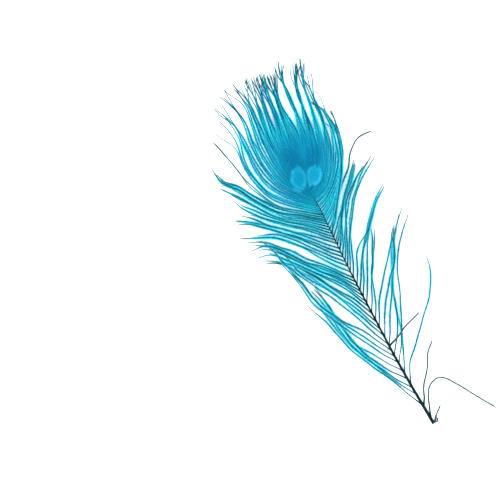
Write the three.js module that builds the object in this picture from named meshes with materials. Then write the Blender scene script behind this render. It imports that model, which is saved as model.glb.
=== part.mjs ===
// A dyed peacock feather, lying good side up on a table.
//
// The feather is one shaft, bare only at its cut quill, and the vane of fine barbs that leave it on both
// sides. The barbs cling together in locks, so each lock is one slim closed solid that runs out to the tips
// of its barbs, and the shaft is one solid of its own.
//
// Millimetres, +Z up, +Y from the quill to the tip, +X to the right of the shaft. Plan points are measured
// from the cut end of the quill. The last group moves the origin to the middle of the feather's footprint.
import * as THREE from "three";
import { mergeVertices } from "three/addons/utils/BufferGeometryUtils.js";

// The shaft, from the cut quill to the notch of the eye.
const SHAFT_LENGTH = 196;
const SHAFT_COURSE = [
  [0, 0], [-1.3, 29], [-2.1, 56], [-2.2, 83], [-2, 120], [-0.8, 154], [0.3, 178], [-0.8, 196],
];
const QUILL_RADIUS = 1.35;
const SHAFT_TIP_RADIUS = 0.24;
const SHAFT_TAPER = 0.81; // below 1, the shaft thins fastest near the quill
const SHAFT_SIDES = 8;
const SHAFT_STEPS = 28;

// How the shaft lies: the quill rests on its flattened underside, and the rest bows over the table.
const QUILL_REST_LENGTH = 25;
const SHAFT_BOW = 4.2;
const EYE_LIFT = 1.6;

// Every lock of barbs.
const LOCK_SIDES = 6;
const LOCK_STEP_LENGTH = 9;
const LOCK_ROOT_WIDTH = 0.7;
const LOCK_TIP_WIDTH = 0.5;
const LOCK_THICKNESS = 0.7;
const LOCK_WIDEST_AT = 0.55; // share of the lock's length
const LOCK_BOW = 2.4;
const BOWED_LENGTH = 60; // of the locks that bow fully
const LAYER_RISE = 0.95; // from one lock to the lock that crosses over it
const LAYER_REACHED_AT = 0.3; // share of the lock's length
const JOINT_GAP = 0.3;

const RIGHT = 1;
const LEFT = -1;
const END = 0;

// The locks: side of the shaft, station of the root along it, widest width, layer above the table, and the
// plan points that the middle of the lock runs through after its root.
const LOCKS = {
  // Right of the shaft, from the quill up.
  right_lock_01: [RIGHT, 5, 1.2, 0, [[5, 19], [11, 27], [19, 28], [29, 16], [37, 3], [44, -11]]],
  right_lock_02: [RIGHT, 15, 1.2, 0, [[5, 26], [12, 36], [20, 47], [26, 55]]],
  right_lock_03: [RIGHT, 33, 2.2, 0, [
    [5, 47], [14, 56], [26, 68], [37, 79], [46, 91], [53, 103], [57, 117],
  ]],
  right_lock_04: [RIGHT, 44, 2.0, 0, [[8, 67], [19, 97], [29, 120], [41, 135], [56, 151]]],
  right_lock_05: [RIGHT, 53, 2.0, 3, [[14, 76], [32, 115], [45, 133], [54, 141], [58, 147]]],
  right_lock_06: [RIGHT, 62, 2.0, 2, [[12, 87], [26, 112], [38, 132], [49, 146]]],
  right_lock_07: [RIGHT, 71, 1.6, 4, [[5, 86], [17, 105], [31, 121], [35, 138]]],
  right_lock_08: [RIGHT, 80, 2.0, 0, [[5, 94], [18, 112], [31, 126], [42, 141]]],
  right_lock_09: [RIGHT, 91, 1.8, 0, [[7, 109], [15, 123], [23, 137], [30, 148]]],
  right_lock_10: [RIGHT, 101, 2.2, 0, [
    [4, 112], [12, 126], [21, 140], [30, 151], [41, 161], [54, 169],
  ]],
  right_lock_11: [RIGHT, 110, 2.2, 2, [[9, 129], [23, 146], [35, 159], [50, 171]]],
  right_lock_12: [RIGHT, 121, 3.6, 0, [[10, 148], [23, 168], [39, 184], [53, 194]]],
  right_lock_13: [RIGHT, 131, 3.0, 2, [[7, 149], [19, 169], [32, 182], [45, 191]]],
  right_lock_14: [RIGHT, 141, 3.0, 1, [[8, 158], [18, 172], [30, 184], [38, 192]]],
  right_lock_15: [RIGHT, 155, 2.2, 0, [
    [9, 171], [20, 181], [31, 191], [38, 201], [47, 207], [59, 207],
  ]],

  // Left of the shaft, from the quill up.
  left_lock_01: [LEFT, 16, 1.6, 0, [[-9, 35], [-20, 60], [-28, 80], [-33, 101], [-37, 120]]],
  left_lock_02: [LEFT, 36, 2.0, 0, [[-13, 52], [-22, 70], [-27, 93], [-29, 112], [-34, 132]]],
  left_lock_03: [LEFT, 56, 2.4, 0, [[-15, 78], [-24, 94], [-34, 114], [-37, 132], [-44, 154]]],
  left_lock_04: [LEFT, 68, 3.2, 3, [[-11, 91], [-21, 115], [-35, 141], [-45, 163], [-54, 172]]],
  left_lock_05: [LEFT, 84, 2.4, 0, [[-9, 101], [-20, 121], [-36, 147], [-47, 156], [-57, 161]]],
  left_lock_06: [LEFT, 102, 2.8, 1, [[-9, 117], [-20, 132], [-34, 151], [-47, 164], [-59, 167]]],
  left_lock_07: [LEFT, 118, 3.2, 0, [[-15, 135], [-26, 147], [-35, 159], [-46, 171], [-58, 175]]],
  left_lock_08: [LEFT, 131, 3.6, 2, [
    [-11, 142], [-21, 155], [-31, 167], [-39, 174], [-50, 179], [-63, 185],
  ]],
  left_lock_09: [LEFT, 143, 3.8, 0, [[-18, 161], [-29, 172], [-40, 182], [-52, 192], [-61, 197]]],
  left_lock_10: [LEFT, 154, 3.0, 1, [[-11, 165], [-23, 175], [-34, 185], [-46, 199], [-51, 210]]],
  left_lock_11: [LEFT, 162, 2.4, 0, [
    [-12, 172], [-24, 180], [-33, 190], [-42, 204], [-50, 218], [-59, 234],
  ]],
  left_lock_12: [LEFT, 167, 2.6, 2, [
    [-13, 177], [-25, 186], [-34, 197], [-40, 207], [-45, 216], [-53, 226], [-55, 241],
  ]],
  left_lock_13: [LEFT, 171, 1.4, 0, [
    [-14, 181], [-25, 190], [-31, 201], [-36, 214], [-39, 228], [-42, 242], [-45, 254],
  ]],

  // Round the eye, on its left flank.
  eye_left_lock_01: [LEFT, 175, 3.2, 0, [
    [-9, 183], [-18, 191], [-27, 203], [-31, 217], [-32, 232], [-29, 247], [-32, 270],
  ]],
  eye_left_lock_02: [LEFT, 178, 3.4, 1, [
    [-7, 185], [-14, 193], [-22, 205], [-26, 220], [-26, 237], [-25, 254], [-28, 276],
  ]],
  eye_left_lock_03: [LEFT, 181, 3.2, 0, [
    [-5, 187], [-11, 195], [-18, 207], [-21, 222], [-21, 238], [-19, 258], [-24, 283],
  ]],
  eye_left_lock_04: [LEFT, 184, 3.2, 2, [
    [-4, 190], [-9, 197], [-15, 210], [-17, 226], [-16, 243], [-13, 266], [-19, 286],
  ]],
  eye_left_lock_05: [LEFT, 187, 3.0, 0, [
    [-7, 197], [-12, 209], [-13, 222], [-12, 238], [-10, 258], [-8, 285],
  ]],
  eye_left_lock_06: [LEFT, 190, 3.0, 3, [
    [-5, 199], [-9, 210], [-9, 222], [-8, 240], [-5, 262], [-3, 284],
  ]],
  eye_left_lock_07: [LEFT, 193, 3.2, 1, [
    [-3.6, 201], [-5, 210], [-5, 222], [-4, 239], [-1, 260], [3, 283],
  ]],
  eye_left_lock_08: [LEFT, 196, 3.6, 2, [[-1, 205], [0, 219], [0, 231], [3, 248], [5, 264], [8, 282]]],

  // At the end of the shaft.
  eye_top_lock_01: [END, 196, 3.6, 0, [[2, 206], [5, 218], [7, 230], [8, 244], [10, 259], [15, 280]]],
  eye_top_lock_02: [RIGHT, 196, 3.2, 3, [
    [6, 203], [12, 215], [16, 228], [17, 243], [18, 257], [20, 271], [25, 282],
  ]],

  // Round the eye, on its right flank.
  eye_right_lock_01: [RIGHT, 193, 3.4, 1, [
    [7, 199], [14, 208], [18, 219], [21, 233], [24, 248], [27, 263], [34, 278],
  ]],
  eye_right_lock_02: [RIGHT, 188, 3.2, 2, [
    [9, 192], [17, 201], [22, 213], [26, 227], [29, 244], [32, 260], [38, 278],
  ]],
  eye_right_lock_03: [RIGHT, 184, 3.2, 0, [
    [8, 186], [18, 194], [25, 206], [29, 220], [32.5, 236], [34, 251], [37, 267],
  ]],
  eye_right_lock_04: [RIGHT, 179, 3.0, 3, [
    [9, 182], [20, 191], [29, 204], [33, 215], [36, 227], [36, 239], [31, 250],
  ]],
  eye_right_lock_05: [RIGHT, 172, 3.2, 1, [
    [9, 177], [22, 187], [31, 199], [35.5, 211], [38, 224], [38, 236],
  ]],

  // Broken barbs.
  broken_barb_01: [RIGHT, 65, 1.2, 6, [[10, 71], [20, 74], [28, 77]]],
  broken_barb_02: [RIGHT, 1.5, 1.0, 0, [[6, 6], [11, 9]]],
};

// Finishes.
const SHAFT_FINISH = { color: 0x10242e, roughness: 0.42, metalness: 0 };
const VANE_FINISH = { color: 0x0d9dc4, roughness: 0.7, metalness: 0 };
const EYE_FINISH = { color: 0x0a86bd, roughness: 0.62, metalness: 0 };
const BROKEN_FINISH = { color: 0x3d7f90, roughness: 0.75, metalness: 0 };

// The locks and strays that are worn almost bare.
const WORN = new Set(["right_lock_01", "right_lock_02", "broken_barb_01", "broken_barb_02"]);

const UP = new THREE.Vector3(0, 0, 1);

/** A smooth plan curve through the given [x, y] points. */
function planCurve(points) {
  const course = points.map(([x, y]) => new THREE.Vector3(x, y, 0));
  return new THREE.CatmullRomCurve3(course, false, "centripetal");
}

const shaftCurve = planCurve(SHAFT_COURSE);

/** Radius of the shaft at a share of its length. */
function shaftRadius(share) {
  return THREE.MathUtils.lerp(QUILL_RADIUS, SHAFT_TIP_RADIUS, share ** SHAFT_TAPER);
}

/** Height of the shaft's middle line above the table at a share of its length. */
function shaftHeight(share) {
  const restShare = QUILL_REST_LENGTH / SHAFT_LENGTH;
  const raised = Math.max(0, (share - restShare) / (1 - restShare));
  const bow = SHAFT_BOW * Math.sin(Math.PI * raised) ** 2;
  const lift = EYE_LIFT * THREE.MathUtils.smoothstep(raised, 0, 1);
  return shaftRadius(share) * Math.cos(Math.PI / SHAFT_SIDES) + bow + lift;
}

/**
 * A closed solid whose section follows a plan curve.
 * section(share) gives half its width, half its thickness and the height of its middle.
 */
function alongCurve(curve, sides, steps, section) {
  const turn = sides === SHAFT_SIDES ? Math.PI / sides : 0; // turns a flat side of the shaft to the table
  const geometry = new THREE.CylinderGeometry(1, 1, 1, sides, steps, false, turn);
  geometry.deleteAttribute("uv");
  geometry.deleteAttribute("normal");
  const position = geometry.getAttribute("position");
  const vertex = new THREE.Vector3();
  for (let i = 0; i < position.count; i++) {
    vertex.fromBufferAttribute(position, i);
    const share = THREE.MathUtils.clamp(vertex.y + 0.5, 0, 1);
    const { halfWidth, halfThickness, height } = section(share);
    const across = curve.getTangentAt(share).cross(UP);
    const point = curve.getPointAt(share);
    point.addScaledVector(across, vertex.x * halfWidth);
    point.z = height + vertex.z * halfThickness;
    position.setXYZ(i, point.x, point.y, point.z);
  }
  const closed = mergeVertices(geometry);
  closed.computeVertexNormals();
  return closed;
}

/** A named mesh with its own finish. */
function mesh(name, geometry, finish) {
  const made = new THREE.Mesh(geometry, new THREE.MeshStandardMaterial(finish));
  made.name = name;
  return made;
}

/** The shaft, tapering from the quill to the eye. */
function makeShaft() {
  const section = (share) => {
    const radius = shaftRadius(share);
    return { halfWidth: radius, halfThickness: radius, height: shaftHeight(share) };
  };
  return mesh("shaft", alongCurve(shaftCurve, SHAFT_SIDES, SHAFT_STEPS, section), SHAFT_FINISH);
}

/** Where the middle line of a lock starts: beside the shaft, or past its end. */
function lockStart(side, share, rootHalfWidth) {
  const along = shaftCurve.getTangentAt(share);
  const across = along.clone().cross(UP);
  const point = shaftCurve.getPointAt(share);
  const clearance = shaftRadius(share) + JOINT_GAP + rootHalfWidth;
  return side === END
    ? point.addScaledVector(along, JOINT_GAP + rootHalfWidth)
    : point.addScaledVector(across, side * clearance);
}

/** Half the width of a lock at a share of its length. */
function lockHalfWidth(share, widest) {
  const swell = share < LOCK_WIDEST_AT
    ? THREE.MathUtils.smoothstep(share, 0, LOCK_WIDEST_AT)
    : 1 - THREE.MathUtils.smoothstep(share, LOCK_WIDEST_AT, 1);
  const narrow = THREE.MathUtils.lerp(LOCK_ROOT_WIDTH, LOCK_TIP_WIDTH, share);
  return THREE.MathUtils.lerp(narrow, widest, swell) / 2;
}

/** The finish of a lock. */
function lockFinish(name) {
  if (WORN.has(name)) {
    return BROKEN_FINISH;
  }
  return name.startsWith("eye") ? EYE_FINISH : VANE_FINISH;
}

/** One lock of barbs, from its root at the shaft to the tips of its barbs. */
function makeLock(name, [side, station, widest, layer, course]) {
  const rootShare = Math.min(station / SHAFT_LENGTH, 1);
  const start = lockStart(side, rootShare, LOCK_ROOT_WIDTH / 2);
  const curve = planCurve([[start.x, start.y], ...course]);
  const rootHeight = shaftHeight(rootShare);
  const length = curve.getLength();
  const highestBow = LOCK_BOW * Math.min(1, length / BOWED_LENGTH);
  const section = (share) => {
    const drop = THREE.MathUtils.smoothstep(share, 0, 1);
    const fallen = THREE.MathUtils.lerp(rootHeight, LOCK_THICKNESS / 2, drop);
    const bow = highestBow * 4 * share * (1 - share);
    const layered = layer * LAYER_RISE * THREE.MathUtils.smoothstep(share, 0, LAYER_REACHED_AT);
    return {
      halfWidth: lockHalfWidth(share, widest),
      halfThickness: LOCK_THICKNESS / 2,
      height: fallen + bow + layered,
    };
  };
  const steps = Math.ceil(length / LOCK_STEP_LENGTH);
  return mesh(name, alongCurve(curve, LOCK_SIDES, steps, section), lockFinish(name));
}

const feather = new THREE.Group();
feather.add(makeShaft());
for (const [name, lock] of Object.entries(LOCKS)) {
  feather.add(makeLock(name, lock));
}

// The origin is on the table, under the middle of the feather.
const footprint = new THREE.Box3().setFromObject(feather);
const middle = footprint.getCenter(new THREE.Vector3());
feather.position.set(-middle.x, -middle.y, -footprint.min.z);

const part = new THREE.Group();
part.add(feather);

export default part;
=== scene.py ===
"""A dyed peacock eye feather, lying good side up on a white table.

The feather is one horn shaft and about a hundred and fifty barbs. Each barb is a thin ramus with a fringe of
barbules down both sides. The barbs cling together in locks, and every lock is a piece of its own.

Plan sizes are in millimetres from the cut end of the quill: +Y runs up the shaft, +X to its right and +Z up
from the table. Placement moves them into the frame, which is in metres.
"""
import logging
import math
from collections.abc import Callable
from dataclasses import dataclass, field, replace
from enum import Enum

import bpy
import numpy as np
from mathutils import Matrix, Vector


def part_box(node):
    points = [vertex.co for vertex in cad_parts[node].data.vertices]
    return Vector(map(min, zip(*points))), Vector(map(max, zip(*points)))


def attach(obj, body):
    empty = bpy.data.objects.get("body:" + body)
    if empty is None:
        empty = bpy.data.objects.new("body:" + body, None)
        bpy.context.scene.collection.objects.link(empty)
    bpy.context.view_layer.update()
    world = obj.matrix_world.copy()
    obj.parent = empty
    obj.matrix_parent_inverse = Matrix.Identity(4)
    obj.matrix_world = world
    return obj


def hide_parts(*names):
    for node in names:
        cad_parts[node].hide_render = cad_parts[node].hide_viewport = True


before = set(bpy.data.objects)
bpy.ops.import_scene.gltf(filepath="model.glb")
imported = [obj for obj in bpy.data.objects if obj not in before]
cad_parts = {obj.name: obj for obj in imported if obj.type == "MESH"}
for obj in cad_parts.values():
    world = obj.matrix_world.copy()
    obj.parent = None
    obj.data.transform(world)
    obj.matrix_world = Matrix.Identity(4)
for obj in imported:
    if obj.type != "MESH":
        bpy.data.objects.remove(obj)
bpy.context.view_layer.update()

MM = 0.001  # metres
SEED = 31

Colour = tuple[float, float, float]
Pair = tuple[float, float]
Numbers = np.ndarray | float
Socket = bpy.types.NodeSocket
Tree = bpy.types.NodeTree

log = logging.getLogger("feather")


def smooth(value: Numbers, low: float = 0.0, high: float = 1.0) -> np.ndarray:
    """Rise smoothly from 0 at low to 1 at high.

    Args:
        value: where to read the step.
        low: where the step starts.
        high: where the step ends.

    Returns:
        The height of the step, from 0 to 1.
    """
    share = np.clip((np.asarray(value, float) - low) / (high - low), 0.0, 1.0)
    return share * share * (3.0 - 2.0 * share)


def blend(first: Numbers, second: Numbers, share: Numbers) -> np.ndarray:
    """Mix two values, with a share of 0 for the first and 1 for the second."""
    return np.asarray(first) * (1.0 - share) + np.asarray(second) * share


class Side(Enum):
    """The side of the shaft that a lock grows on."""

    RIGHT = 1
    LEFT = -1
    END = 0


class Part(Enum):
    """The part of the feather that a lock belongs to. The value is its material slot."""

    VANE = "vane_barbs"
    EYE = "eye_barbs"
    WORN = "broken_barbs"


# --------------------------------------------------------------------------------------------------------
# Lines in plan
# --------------------------------------------------------------------------------------------------------


class Course:
    """A smooth plan curve through guide points, walked by share of its length."""

    SAMPLES = 40  # from one guide point to the next
    NEAR = 0.004  # share of the length on either side of a point that its direction is read from

    def __init__(self, points: list[Pair] | np.ndarray) -> None:
        """Lay a centripetal Catmull-Rom curve through the points.

        Args:
            points: plan points in millimetres, from the root to the tip.
        """
        guide = np.asarray(points, float)
        before = 2.0 * guide[0] - guide[1]
        after = 2.0 * guide[-1] - guide[-2]
        run = np.vstack([before, guide, after])
        spans = [self._span(*run[i : i + 4]) for i in range(len(guide) - 1)]
        self.samples = np.vstack([*spans, guide[-1:]])
        steps = np.linalg.norm(np.diff(self.samples, axis=0), axis=1)
        self.walked = np.concatenate([[0.0], np.cumsum(steps)])
        self.length = float(self.walked[-1])

    def _span(self, p0: np.ndarray, p1: np.ndarray, p2: np.ndarray, p3: np.ndarray) -> np.ndarray:
        """Sample the curve from p1 up to p2.

        Args:
            p0: the guide point before.
            p1: where the span starts.
            p2: where the span ends.
            p3: the guide point after.

        Returns:
            The samples, one a row.
        """
        d0, d1, d2 = (math.sqrt(np.linalg.norm(b - a)) for a, b in ((p0, p1), (p1, p2), (p2, p3)))
        leave = ((p1 - p0) / d0 - (p2 - p0) / (d0 + d1) + (p2 - p1) / d1) * d1
        arrive = ((p2 - p1) / d1 - (p3 - p1) / (d1 + d2) + (p3 - p2) / d2) * d1
        t = np.linspace(0.0, 1.0, self.SAMPLES, endpoint=False)[:, None]
        square = -3.0 * p1 + 3.0 * p2 - 2.0 * leave - arrive
        cube = 2.0 * p1 - 2.0 * p2 + leave + arrive
        return p1 + leave * t + square * t**2 + cube * t**3

    def at(self, share: Numbers) -> np.ndarray:
        """Give the plan points at shares of the length, one a row."""
        walk = np.atleast_1d(share) * self.length
        return np.column_stack([np.interp(walk, self.walked, axis) for axis in self.samples.T])

    def across(self, share: Numbers) -> np.ndarray:
        """Find the directions square to the course.

        Args:
            share: shares of the length.

        Returns:
            The unit vectors to the right of the course, one a row.
        """
        share = np.atleast_1d(share)
        run = self.at(np.minimum(share + self.NEAR, 1.0)) - self.at(np.maximum(share - self.NEAR, 0.0))
        run /= np.linalg.norm(run, axis=1, keepdims=True)
        return np.column_stack([run[:, 1], -run[:, 0]])


@dataclass(frozen=True)
class ShaftLine:
    """The middle line of the shaft: its course, its thickness and how it lies on the table."""

    length: float = 196.0
    course: tuple[Pair, ...] = (
        (0, 0), (-1.3, 29), (-2.1, 56), (-2.2, 83), (-2, 120), (-0.8, 154), (0.3, 178), (-0.8, 196),
    )
    quill_radius: float = 1.35
    tip_radius: float = 0.24
    taper: float = 0.81  # below 1, the shaft thins fastest near the quill
    rest_length: float = 25.0  # of the quill, flat on the table
    bow: float = 4.2  # rise of the middle over the table
    eye_lift: float = 1.6  # rise of the end
    solid_sides: int = 8  # of the shaft's solid in the frame
    solid_steps: int = 28
    curve: Course = field(init=False)

    def __post_init__(self) -> None:
        """Lay the course."""
        object.__setattr__(self, "curve", Course(self.course))

    def radius(self, share: Numbers) -> np.ndarray:
        """Give the radius at shares of the length."""
        return blend(self.quill_radius, self.tip_radius, np.asarray(share, float) ** self.taper)

    @property
    def flat_depth(self) -> float:
        """How far the flat underside lies below the middle line, in radii."""
        return math.cos(math.pi / self.solid_sides)

    def height(self, share: Numbers) -> np.ndarray:
        """Find how high the middle line lies over the table.

        Args:
            share: shares of the length.

        Returns:
            The heights.
        """
        rest = self.rest_length / self.length
        raised = np.clip((np.asarray(share, float) - rest) / (1.0 - rest), 0.0, 1.0)
        lift = self.bow * np.sin(math.pi * raised) ** 2 + self.eye_lift * smooth(raised)
        return self.radius(share) * self.flat_depth + lift

    def rings(self, share: np.ndarray, profile: Callable[[np.ndarray], np.ndarray]) -> np.ndarray:
        """Put a section square across the shaft at each share.

        Args:
            share: where the sections stand.
            profile: gives the section at a share as rows of (right, up), in radii.

        Returns:
            An array of sections by points by XYZ.
        """
        middle = self.curve.at(share)
        across = self.curve.across(share)
        radius = self.radius(share)
        height = self.height(share)
        rings = []
        for number, where in enumerate(share):
            section = profile(where) * radius[number]
            plan = middle[number] + section[:, :1] * across[number]
            rings.append(np.column_stack([plan, section[:, 1] + height[number]]))
        return np.array(rings)


class Placement:
    """Where the feather's own millimetres lie in the frame."""

    def __init__(self, line: ShaftLine) -> None:
        """Find the place from the frame's solid of the shaft.

        Args:
            line: the shaft's middle line, whose solid the frame holds.
        """
        turn = (np.arange(line.solid_sides) + 0.5) * 2.0 * math.pi / line.solid_sides
        section = np.column_stack([np.sin(turn), np.cos(turn)])
        solid = line.rings(np.linspace(0.0, 1.0, line.solid_steps + 1), lambda _: section)
        low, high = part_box("shaft")
        own_middle = (solid.min(axis=(0, 1)) + solid.max(axis=(0, 1))) / 2.0
        self.offset = (np.array(low) + np.array(high)) / 2.0 / MM - own_middle
        self.offset[2] = 0.0

    def metres(self, points: np.ndarray) -> np.ndarray:
        """Turn the feather's own millimetres into metres in the frame."""
        return (points + self.offset) * MM


# --------------------------------------------------------------------------------------------------------
# The locks and their barbs
# --------------------------------------------------------------------------------------------------------


@dataclass(frozen=True)
class Lock:
    """One lock: where it grows, the layer it lies in and the points that its middle runs through."""

    name: str
    side: Side
    station: float
    layer: float
    course: tuple[Pair, ...]
    part: Part = Part.VANE
    lone: int = 0  # how many barbs it has where it stands apart from the others
    joined: bool = False  # whether its barbs run on without a gap into the next lock in the running order
    bits: tuple[tuple[Pair, ...], ...] = ()  # the points of short frayed ends that stand beside it

    @property
    def habit(self) -> "Habit":
        """The way its barbs grow."""
        if self.part is Part.VANE and self.lone:
            return CURLED if self.lone == 1 else LONE
        if self.part is Part.VANE:
            return LOOSE if self.side is Side.LEFT else CLUNG
        return CLOSED if self.part is Part.EYE else BARE

    @property
    def order(self) -> float:
        """Place in the running order: up the left side, round the end and down the right side."""
        if self.side is Side.RIGHT:
            return RUN_LENGTH - self.station
        return self.station if self.side is Side.LEFT else RUN_LENGTH / 2.0


SHAFT_LINE = ShaftLine()
END_FAN = 2.0  # share of the running order, in millimetres, that grows from the shaft's very end
RUN_LENGTH = 2.0 * SHAFT_LINE.length + END_FAN

R, L, E = Side.RIGHT, Side.LEFT, Side.END
VANE, EYE, WORN = Part.VANE, Part.EYE, Part.WORN

LOCKS = (
    # Right of the shaft, from the quill up.
    Lock("right_lock_01", R, 5, 0, ((5, 19), (11, 27), (19, 28), (29, 16), (37, 3), (44, -11)), WORN, lone=1),
    Lock("right_lock_02", R, 15, 0, ((5, 26), (12, 36), (20, 47), (26, 55)), WORN, lone=1),
    Lock("right_lock_03", R, 33, 0, ((5, 47), (14, 56), (26, 68), (37, 79), (46, 91), (53, 103), (57, 117))),
    Lock("right_lock_04", R, 44, 0, ((8, 67), (19, 97), (29, 120), (41, 135), (56, 151))),
    Lock("right_lock_05", R, 53, 3, ((14, 76), (32, 115), (45, 133), (54, 141), (58, 147))),
    Lock("right_lock_06", R, 62, 2, ((12, 87), (26, 112), (38, 132), (49, 146))),
    Lock("right_lock_07", R, 71, 4, ((5, 86), (17, 105), (31, 121), (35, 138))),
    Lock("right_lock_08", R, 80, 0, ((5, 94), (18, 112), (31, 126), (42, 141))),
    Lock("right_lock_09", R, 91, 0, ((7, 109), (15, 123), (23, 137), (30, 148))),
    Lock("right_lock_10", R, 101, 0, ((4, 112), (12, 126), (21, 140), (30, 151), (41, 161), (54, 169))),
    Lock("right_lock_11", R, 110, 2, ((9, 129), (23, 146), (35, 159), (50, 171))),
    Lock("right_lock_12", R, 121, 0, ((10, 148), (23, 168), (39, 184), (53, 194))),
    Lock("right_lock_13", R, 131, 2, ((7, 149), (19, 169), (32, 182), (45, 191))),
    Lock("right_lock_14", R, 141, 1, ((8, 158), (18, 172), (30, 184), (38, 192))),
    Lock("right_lock_15", R, 155, 0, (
        (9, 171), (20, 181), (31, 191), (38, 201), (47, 207), (59, 207),
    ), VANE, lone=1),
    # Left of the shaft, from the quill up.
    Lock("left_lock_01", L, 16, 0, ((-9, 35), (-20, 60), (-28, 80), (-33, 101), (-37, 120))),
    Lock("left_lock_02", L, 36, 0, ((-13, 52), (-22, 70), (-27, 93), (-29, 112), (-34, 132))),
    Lock("left_lock_03", L, 56, 0, ((-15, 78), (-24, 94), (-34, 114), (-37, 132), (-44, 154))),
    Lock("left_lock_04", L, 68, 3, ((-11, 91), (-21, 115), (-35, 141), (-45, 163), (-54, 172))),
    Lock("left_lock_05", L, 84, 0, ((-9, 101), (-20, 121), (-36, 147), (-47, 156), (-57, 161))),
    Lock("left_lock_06", L, 102, 1, ((-9, 117), (-20, 132), (-34, 151), (-47, 164), (-59, 167))),
    Lock("left_lock_07", L, 118, 0, ((-15, 135), (-26, 147), (-35, 159), (-46, 171), (-58, 175))),
    Lock("left_lock_08", L, 131, 2, (
        (-11, 142), (-21, 155), (-31, 167), (-39, 174), (-50, 179), (-63, 185),
    )),
    Lock("left_lock_09", L, 143, 0, ((-18, 161), (-29, 172), (-40, 182), (-52, 192), (-61, 197))),
    Lock("left_lock_10", L, 154, 1, ((-11, 165), (-23, 175), (-34, 185), (-46, 199), (-51, 210))),
    Lock("left_lock_11", L, 162, 0, (
        (-12, 172), (-24, 180), (-33, 190), (-42, 204), (-50, 218), (-59, 234),
    )),
    Lock("left_lock_12", L, 167, 2, (
        (-13, 177), (-25, 186), (-34, 197), (-40, 207), (-45, 216), (-53, 226), (-55, 241),
    )),
    Lock("left_lock_13", L, 171, 0, (
        (-14, 181), (-25, 190), (-31, 201), (-36, 214), (-39, 228), (-42, 242), (-45, 254),
    ), VANE, lone=2),
    # Round the eye, on its left flank.
    Lock("eye_left_lock_01", L, 175, 0, (
        (-9, 183), (-18, 191), (-27, 203), (-31, 217), (-32, 232), (-29, 247), (-32, 270),
    ), EYE, joined=True),
    Lock("eye_left_lock_02", L, 178, 1, (
        (-7, 185), (-14, 193), (-22, 205), (-26, 220), (-26, 237), (-25, 254), (-28, 276),
    ), EYE, joined=True),
    Lock("eye_left_lock_03", L, 181, 0, (
        (-5, 187), (-11, 195), (-18, 207), (-21, 222), (-21, 238), (-19, 258), (-24, 283),
    ), EYE, joined=True),
    Lock("eye_left_lock_04", L, 184, 2, (
        (-4, 190), (-9, 197), (-15, 210), (-17, 226), (-16, 243), (-13, 266), (-19, 286),
    ), EYE),
    Lock("eye_left_lock_05", L, 187, 0, (
        (-7, 197), (-12, 209), (-13, 222), (-12, 238), (-10, 258), (-8, 285),
    ), EYE),
    Lock("eye_left_lock_06", L, 190, 3, (
        (-5, 199), (-9, 210), (-9, 222), (-8, 240), (-5, 262), (-3, 284),
    ), EYE),
    Lock("eye_left_lock_07", L, 193, 1, (
        (-3.6, 201), (-5, 210), (-5, 222), (-4, 239), (-1, 260), (3, 283),
    ), EYE, joined=True),
    Lock("eye_left_lock_08", L, 196, 2, (
        (-1, 205), (0, 219), (0, 231), (3, 248), (5, 264), (8, 282),
    ), EYE, joined=True),
    # At the end of the shaft.
    Lock("eye_top_lock_01", E, 196, 0, ((2, 206), (5, 218), (7, 230), (8, 244), (10, 259), (15, 280)), EYE),
    Lock("eye_top_lock_02", R, 196, 3, (
        (6, 203), (12, 215), (16, 228), (17, 243), (18, 257), (20, 271), (25, 282),
    ), EYE, joined=True),
    # Round the eye, on its right flank.
    Lock("eye_right_lock_01", R, 193, 1, (
        (7, 199), (14, 208), (18, 219), (21, 233), (24, 248), (27, 263), (34, 278),
    ), EYE, joined=True),
    Lock("eye_right_lock_02", R, 188, 2, (
        (9, 192), (17, 201), (22, 213), (26, 227), (29, 244), (32, 260), (38, 278),
    ), EYE, joined=True),
    Lock("eye_right_lock_03", R, 184, 0, (
        (8, 186), (18, 194), (25, 206), (29, 220), (32.5, 236), (34, 251), (37, 267),
    ), EYE, joined=True),
    Lock("eye_right_lock_04", R, 179, 3, (
        (9, 182), (20, 191), (29, 204), (33, 215), (36, 227), (36, 239), (31, 250),
    ), EYE, joined=True),
    Lock("eye_right_lock_05", R, 172, 1, (
        (9, 177), (22, 187), (31, 199), (35.5, 211), (38, 224), (38, 236),
    ), EYE),
    # Broken barbs.
    Lock("broken_barb_01", R, 65, 6, ((10, 71), (20, 74), (28, 77)), WORN, lone=1),
    Lock("broken_barb_02", R, 1.5, 0, ((6, 6), (11, 9)), WORN, lone=1, bits=(
        ((2.6, 0.6), (4.6, 2.2)),
        ((2.2, 3.0), (3.6, 5.2)),
    )),
)


@dataclass
class Barb:
    """One barb: the points of its ramus and what changes along it."""

    points: np.ndarray  # millimetres, one a row
    grey: np.ndarray  # 1 where the dye has turned grey
    tone: np.ndarray  # 0 for pale dye to 1 for deep dye
    rooted: np.ndarray  # 1 where the dark of the shaft runs on into the barb
    ramus: np.ndarray  # radius in millimetres
    fringe: np.ndarray  # length of the barbules in millimetres


BARB_VALUES = {"grey": 1.0, "tone": 1.0, "rooted": 1.0, "ramus": MM, "fringe": MM}  # and their units


@dataclass(frozen=True)
class Habit:
    """How the barbs of one part of the feather grow."""

    gather: Pair  # shares between which the barbs close up into their lock
    spread: float  # half the width of a gathered lock
    stray: float  # how far the tips part again
    ramus: Pair  # radius at the root and the tip
    fringe: float  # longest barbules
    fringe_tip: float  # share of the full length at the tip
    hold: float = 1.0  # how far they close up, 1 for wholly
    ribbons: int = 1  # how many ribbons the lock parts into
    neck: float = 1.0  # share of the lock's width left just before the tips
    shortest: float = 0.98  # share of the guide's length that the shortest barb has
    thins_from: float = 0.80  # share of its own length from which a barb's fringe thins towards the tip
    greys_from: float = 0.88  # share of its own length from which a barb's dye turns grey


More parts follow.
